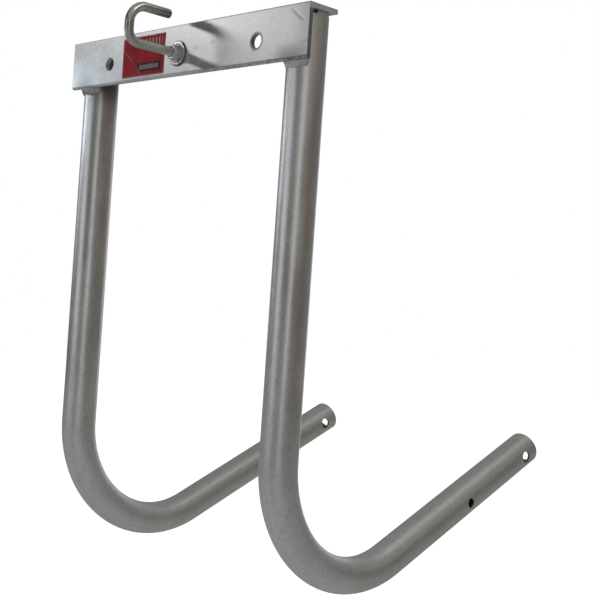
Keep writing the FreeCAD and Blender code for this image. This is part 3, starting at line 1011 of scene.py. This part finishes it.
def field(u, v, left, right, bottom, top):
    """1 inside a rectangle of the print and 0 outside it, in shares of the label's width and height."""
    inside = u.step(left - FIELD_SOFT, left + FIELD_SOFT) * u.fall(right - FIELD_SOFT, right + FIELD_SOFT)
    inside = inside * v.step(bottom - FIELD_SOFT, bottom + FIELD_SOFT)
    return inside * v.fall(top - FIELD_SOFT, top + FIELD_SOFT)


def bars(u, count, share):
    """1 on evenly spaced upright bars that fill a share of their pitch, and 0 between them."""
    beat = u.math("FRACT", u * count)
    return beat.fall(share - BAR_SOFT, share + BAR_SOFT) * beat.step(0.0, BAR_SOFT)


def label_finish():
    """Printed vinyl: slightly faded red, dark and pale fields, a worn border, scratches and a thin gloss."""
    material, wire = new_finish("label_print", {"Coat Roughness": 0.3, "Specular IOR Level": 0.08})
    u, v = wire.mark("printed", "Vector").parts()[:2]
    place = wire.node("TexCoord", {}, "Object")
    fading = place.noise((60, 60, 60), 3.0)
    slanted = place.node("Mapping", {0: place, "Rotation": (0.0, SCRATCH_SLANT, 0.0)})
    scratches = slanted.noise((900, 900, 35), 1.0).step(0.68, 0.76)
    block_bars = field(u, v, *BLOCK_BARS) * bars(u, BLOCK_BAR_COUNT, BLOCK_BAR_SHARE)
    top_bars = field(u, v, *TOP_BARS) * bars(u, TOP_BAR_COUNT, TOP_BAR_SHARE)
    border = 1 - field(u, v, *INSIDE_BORDER)
    colour = fading.step(0.3, 0.7).blend(DEEP_RED, FADED_RED)
    colour = (field(u, v, *BLOCK) * 0.93).blend(colour, BLOCK_BLACK)
    colour = (block_bars * 0.75 + top_bars * 0.55).blend(colour, BAR_WHITE)
    colour = (border * 0.35 + scratches * 0.35).blend(colour, WORN_PINK)
    gloss = 0.04 - scratches * 0.03
    rough = 0.38 + fading * 0.12
    normal = fading.relief(0.05 * MM, 0.3)
    links = {"Base Color": colour, "Roughness": rough, "Coat Weight": gloss, "Normal": normal}
    return wear(material, links)


points, faces, marks = label_sheet()
label_film = make_piece("label_film", points, faces, label_finish(), "label", marks)
film = label_film.modifiers.new("film", "SOLIDIFY")
film.thickness = LABEL_FILM
film.offset = -1

# Floor. A plain pale studio floor well below the bracket, which hangs clear of it. It only closes the
# picture: the camera sees it nearly white, and the metal sees it dimmer, so that reflections stay calm.
FLOOR_LEVEL = -0.95
FLOOR_REACH = 9.0
PICTURE_RIGHT = (0.72, 0.69, 0)
FLOOR_SEEN = (0.95, 0.95, 0.95)
FLOOR_REFLECTED = (0.70, 0.70, 0.69)
GLOW_SEEN = (0.9, 0.9, 0.9)
GLOW_LEFT = (0.09, 0.09, 0.09)
GLOW_RIGHT = (0.07, 0.07, 0.07)


def pale_floor():
    """A flat grid of four quads, with a glow that is white to the camera and dim in reflections."""
    reach = np.linspace(-FLOOR_REACH, FLOOR_REACH, 3)
    x, y = np.meshgrid(reach, reach)
    points = np.stack([x, y, x * 0 + FLOOR_LEVEL], -1).reshape(-1, 3)
    faces = grid_faces(np.arange(x.size).reshape(x.shape), close_columns=False)
    mesh = bpy.data.meshes.new("floor")
    mesh.from_pydata(points.tolist(), [], faces.tolist())
    constants = {"Roughness": 0.9, "Specular IOR Level": 0.0, "Emission Strength": 1.0}
    material, wire = new_finish("pale_floor", constants)
    seen = wire.node("LightPath", {}, "Is Camera Ray")
    to_right = wire.node("TexCoord", {}, "Object").along(PICTURE_RIGHT).step(-0.6, 1.2)
    glow = seen.blend(to_right.blend(GLOW_LEFT, GLOW_RIGHT), GLOW_SEEN)
    colour = seen.blend(FLOOR_REFLECTED, FLOOR_SEEN)
    mesh.materials.append(wear(material, {"Base Color": colour, "Emission Color": glow}))
    floor = bpy.data.objects.new("floor", mesh)
    bpy.context.scene.collection.objects.link(floor)
    return floor


pale_floor()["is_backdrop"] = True

# Light. A long narrow key lamp on the left throws the hook's shadow on the bar, and a tall strip near the
# camera draws the streak down each tube. Pale cards stand on the left, in front, above and behind, small
# ones close to the left leg and the hook. Flags keep two cards off the bar and the key lamp off the hook.
BAR_MIDDLE = Vector((0.0, 0.0, 0.0))
LEGS_MIDDLE = Vector((0.0, 0.05, -0.2))
LEFT_LEG_TOP = Vector((-TUBE_AWAY, 0.02, -0.06))
HOOK_BEND = Vector((0.0, -0.05, 0.035))


def lamp(name, aim, toward, distance, size, power, colour, lean=(0, 0, 1)):
    """A rectangular area lamp that shines at a point from a direction, and that the camera doesn't see.

    Its height runs as nearly along lean as that direction allows.
    """
    data = bpy.data.lights.new(name, "AREA")
    data.shape = "RECTANGLE"
    data.size, data.size_y = size
    data.energy = power
    data.color = colour
    made = bpy.data.objects.new(name, data)
    back = Vector(toward).normalized()
    up = Vector(lean)
    up = (up - back * up.dot(back)).normalized()
    made.matrix_world = Matrix((up.cross(back), up, back)).transposed().to_4x4()
    made.location = aim + back * distance
    made.visible_camera = False
    bpy.context.scene.collection.objects.link(made)
    return made


def keep_off(light, piece):
    """Flag a lamp off one piece, so that it lights only the others."""
    flagged = bpy.data.collections.new(light.name + "_flag")
    flagged.objects.link(piece)
    flagged.collection_objects[0].light_linking.link_state = "EXCLUDE"
    light.light_linking.receiver_collection = flagged


key_lamp = lamp("key_lamp", BAR_MIDDLE, toward=(-1.30, -0.97, 0.49), distance=2.6, size=(0.18, 1.1),
                power=2.8, colour=(1.0, 0.98, 0.96), lean=(0, 1, 0))
lamp("camera_strip", LEGS_MIDDLE, toward=(0.747, -0.665, 0.13), distance=3.0, size=(0.64, 1.8),
     power=4.0, colour=(1.0, 0.99, 0.95), lean=(0.25, 0.27, 1))
lamp("left_card", LEFT_LEG_TOP, toward=(-0.88, -0.45, 0.155), distance=0.55, size=(0.16, 0.13),
     power=0.17, colour=(0.80, 0.91, 1.0))
leg_card = lamp("leg_card", LEFT_LEG_TOP, toward=(-0.708, -0.684, 0.15), distance=0.55, size=(0.15, 0.11),
                power=0.035, colour=(0.84, 0.92, 1.0))
lamp("side_card", LEGS_MIDDLE, toward=(-0.94, -0.34, 0.10), distance=2.4, size=(0.6, 0.5),
     power=1.2, colour=(0.84, 0.93, 1.0))
front_card = lamp("front_card", LEGS_MIDDLE, toward=(-0.36, -0.93, 0.12), distance=2.2, size=(1.22, 1.0),
                  power=3.35, colour=(0.96, 0.98, 1.0))
lamp("top_card", LEGS_MIDDLE, toward=(0.38, 0.38, 0.84), distance=2.0, size=(0.5, 0.5),
     power=1.1, colour=(1.0, 1.0, 0.97))
lamp("hook_card", HOOK_BEND, toward=(0.70, 0.14, 0.68), distance=0.5, size=(0.10, 0.24),
     power=0.15, colour=(1.0, 0.98, 0.97), lean=(0, 1, 0))
lamp("rear_card", LEGS_MIDDLE, toward=(-0.28, 0.96, 0.02), distance=2.2, size=(0.5, 1.1),
     power=1.5, colour=(1.0, 0.99, 0.97))
keep_off(front_card, cross_bar)
keep_off(leg_card, cross_bar)
keep_off(key_lamp, threaded_hook)

# Room. What the lamps leave over is a dim, soft room of grey walls under a paler ceiling, which the metal
# reflects. It is plain white to the camera, and the colours are shown as they are lit, with no film curve.
PICTURE_BACK = (-0.69, 0.72, 0)
DOORWAY_SIDE = (0.940, 0.342, 0)
FRONT_LEFT = (-0.78, -0.62, 0)
LOW_LEFT = (0.20, 0.20, 0.205)
LOW_RIGHT = (0.20, 0.197, 0.185)
HIGH_LEFT = (0.06, 0.063, 0.065)
HIGH_RIGHT = (0.135, 0.13, 0.12)
DOORWAY_BROWN = (0.11, 0.06, 0.015)
BACK_WALL = (0.27, 0.27, 0.265)
DEEP_SHADE = (0.02, 0.02, 0.021)
CEILING = (0.26, 0.26, 0.257)
SHADED_CEILING = (0.05, 0.05, 0.052)


def dim_room():
    """The room's light by direction: white to the camera, and to the metal grey walls and a ceiling.

    Low down the walls are even. Higher they are dark on the left and warmer on the right, with a brown
    doorway there. The back wall is paler, and the front left lies in a shade that reaches the ceiling.
    """
    world = bpy.data.worlds.new("dim_room")
    bpy.context.scene.world = world
    world.use_nodes = True
    wire = Wire(world.node_tree)
    toward = wire.node("TexCoord", {}, "Generated")
    height = toward.along((0, 0, 1))
    right = toward.along(PICTURE_RIGHT).step(-0.8, 0.8)
    front_left = toward.along(FRONT_LEFT)
    high_walls = right.blend(HIGH_LEFT, HIGH_RIGHT)
    high_walls = toward.along(DOORWAY_SIDE).step(0.83, 0.98).blend(high_walls, DOORWAY_BROWN)
    walls = height.step(-0.14, 0.10).blend(right.blend(LOW_LEFT, LOW_RIGHT), high_walls)
    walls = toward.along(PICTURE_BACK).step(0.3, 0.9).blend(walls, BACK_WALL)
    walls = front_left.step(0.62, 0.92).blend(walls, DEEP_SHADE)
    ceiling = front_left.step(0.35, 0.85).blend(CEILING, SHADED_CEILING)
    room = height.step(0.18, 0.45).blend(walls, ceiling)
    seen = wire.node("LightPath", {}, "Is Camera Ray").blend(room, (1, 1, 1))
    background = world.node_tree.nodes["Background"]
    world.node_tree.links.new(seen.socket, background.inputs["Color"])


dim_room()
bpy.context.scene.view_settings.view_transform = "Standard"

# Camera. It stands in front of the bracket and to its right, level with the middle of the legs, and is
# held with a slight roll. Its place, turns and lens come from fitting the outlines of the bar and tubes.
CAMERA_PLACE = (0.9289, -0.7492, -0.2492)
CAMERA_YAW = math.radians(44.171)
CAMERA_PITCH = math.radians(0.12)
CAMERA_ROLL = math.radians(3.952)
CAMERA_LENS = 68.43
CAMERA_SENSOR = 36.0
camera = bpy.data.objects.new("camera", bpy.data.cameras.new("camera"))
camera.data.lens = CAMERA_LENS
camera.data.sensor_width = CAMERA_SENSOR
turn = Matrix.Rotation(CAMERA_YAW, 4, "Z") @ Matrix.Rotation(math.pi / 2 + CAMERA_PITCH, 4, "X")
camera.matrix_world = Matrix.Translation(CAMERA_PLACE) @ turn @ Matrix.Rotation(CAMERA_ROLL, 4, "Z")
bpy.context.scene.collection.objects.link(camera)
bpy.context.scene.camera = camera

boxes = {"cad": cad_box, "visual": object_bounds()}
{name: [list(corner) for corner in box] for name, box in boxes.items()}
